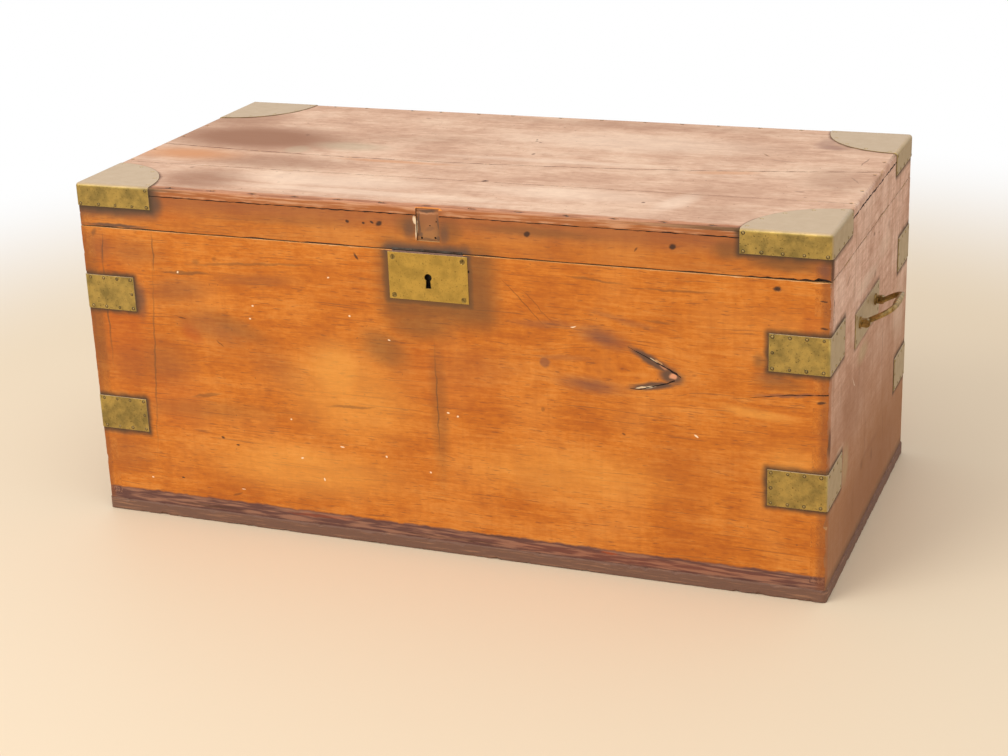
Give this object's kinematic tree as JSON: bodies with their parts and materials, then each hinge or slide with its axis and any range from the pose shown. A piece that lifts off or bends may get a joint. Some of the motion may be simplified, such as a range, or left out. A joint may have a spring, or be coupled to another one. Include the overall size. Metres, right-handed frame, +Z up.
{
  "type": "campaign chest",
  "caption": "Brass-bound campaign trunk of camphor wood: dovetailed case, hinged lid with corner brackets, front lock plate and a swinging bail handle at each end.",
  "frame": {"origin": "middle of the case's footprint, on the surface it stands on", "axes": "+X to the chest's right as seen from the front, -Y out of the front with the lock, +Z up"},
  "size_m": [0.9724, 0.4665, 0.4268],
  "materials": {
    "shellacked_camphor": "worn shellac over amber camphor wood, horizontal grain",
    "weathered_end_camphor": "dry faded pinkish brown camphor wood, upright drips and wear",
    "faded_top_camphor": "dry faded pinkish tan camphor wood with grey and orange patches",
    "painted_bottom_wood": "worn dark brown paint over softwood",
    "sheet_brass": "dull olive-gold tarnished sheet brass",
    "lock_brass": "rubbed yellow brass with tarnish at the edges",
    "lock_iron": "dark lock iron",
    "handle_brass": "cast brass, dark in the hollows and bright on the grip",
    "hinge_brass": "dull butt-hinge brass",
    "screw_brass": "slotted brass screws"
  },
  "bodies": {
    "case": {"front_board": "shellacked_camphor", "back_board": "shellacked_camphor", "left_end_board": "weathered_end_camphor", "right_end_board": "weathered_end_camphor", "bottom_board_front": "painted_bottom_wood", "bottom_board_back": "painted_bottom_wood", "front_left_upper_strap": "sheet_brass", "front_left_lower_strap": "sheet_brass", "front_right_upper_strap": "sheet_brass", "front_right_lower_strap": "sheet_brass", "back_left_upper_strap": "sheet_brass", "back_left_lower_strap": "sheet_brass", "back_right_upper_strap": "sheet_brass", "back_right_lower_strap": "sheet_brass", "left_handle_backplate": "sheet_brass", "right_handle_backplate": "sheet_brass", "lock_plate": "lock_brass", "lock_selvage": "lock_brass", "lock_case": "lock_iron", "left_handle_front_lug": "handle_brass", "left_handle_rear_lug": "handle_brass", "right_handle_front_lug": "handle_brass", "right_handle_rear_lug": "handle_brass", "left_hinge_case_leaf": "hinge_brass", "left_hinge_pin": "hinge_brass", "right_hinge_case_leaf": "hinge_brass", "right_hinge_pin": "hinge_brass", "lock_plate_screws": "screw_brass", "case_hinge_screws": "screw_brass", "handle_plate_screws": "screw_brass"},
    "lid": {"lid_front_rail": "shellacked_camphor", "lid_back_rail": "shellacked_camphor", "lid_left_rail": "weathered_end_camphor", "lid_right_rail": "weathered_end_camphor", "top_board_front": "faded_top_camphor", "top_board_middle": "faded_top_camphor", "top_board_back": "faded_top_camphor", "lid_link_plate": "lock_iron", "left_hinge_lid_leaf": "hinge_brass", "right_hinge_lid_leaf": "hinge_brass", "lid_hinge_screws": "screw_brass", "front_left_lid_bracket": "sheet_brass", "front_right_lid_bracket": "sheet_brass", "back_left_lid_bracket": "sheet_brass", "back_right_lid_bracket": "sheet_brass"},
    "right_bail": {"right_bail": "handle_brass"},
    "left_bail": {"left_bail": "handle_brass"},
    "lock_bolt": {"lock_bolt": "lock_iron"}
  },
  "joints": [
    {"name": "lid_hinge", "type": "hinge", "parent": "case", "child": "lid", "pos_m": [0, 0.2324, 0.3734], "axis": [-1, 0, 0], "range_deg": [0, 100]},
    {"name": "right_handle_swing", "type": "hinge", "parent": "case", "child": "right_bail", "pos_m": [0.468, -0.0315, 0.28], "axis": [0, -1, 0], "range_deg": [-118, 62]},
    {"name": "left_handle_swing", "type": "hinge", "parent": "case", "child": "left_bail", "pos_m": [-0.468, -0.0315, 0.28], "axis": [0, 1, 0], "range_deg": [0, 180]},
    {"name": "lock_bolt_slide", "type": "slide", "parent": "case", "child": "lock_bolt", "axis": [1, 0, 0], "range_m": [0, 0.005]}
  ]
}
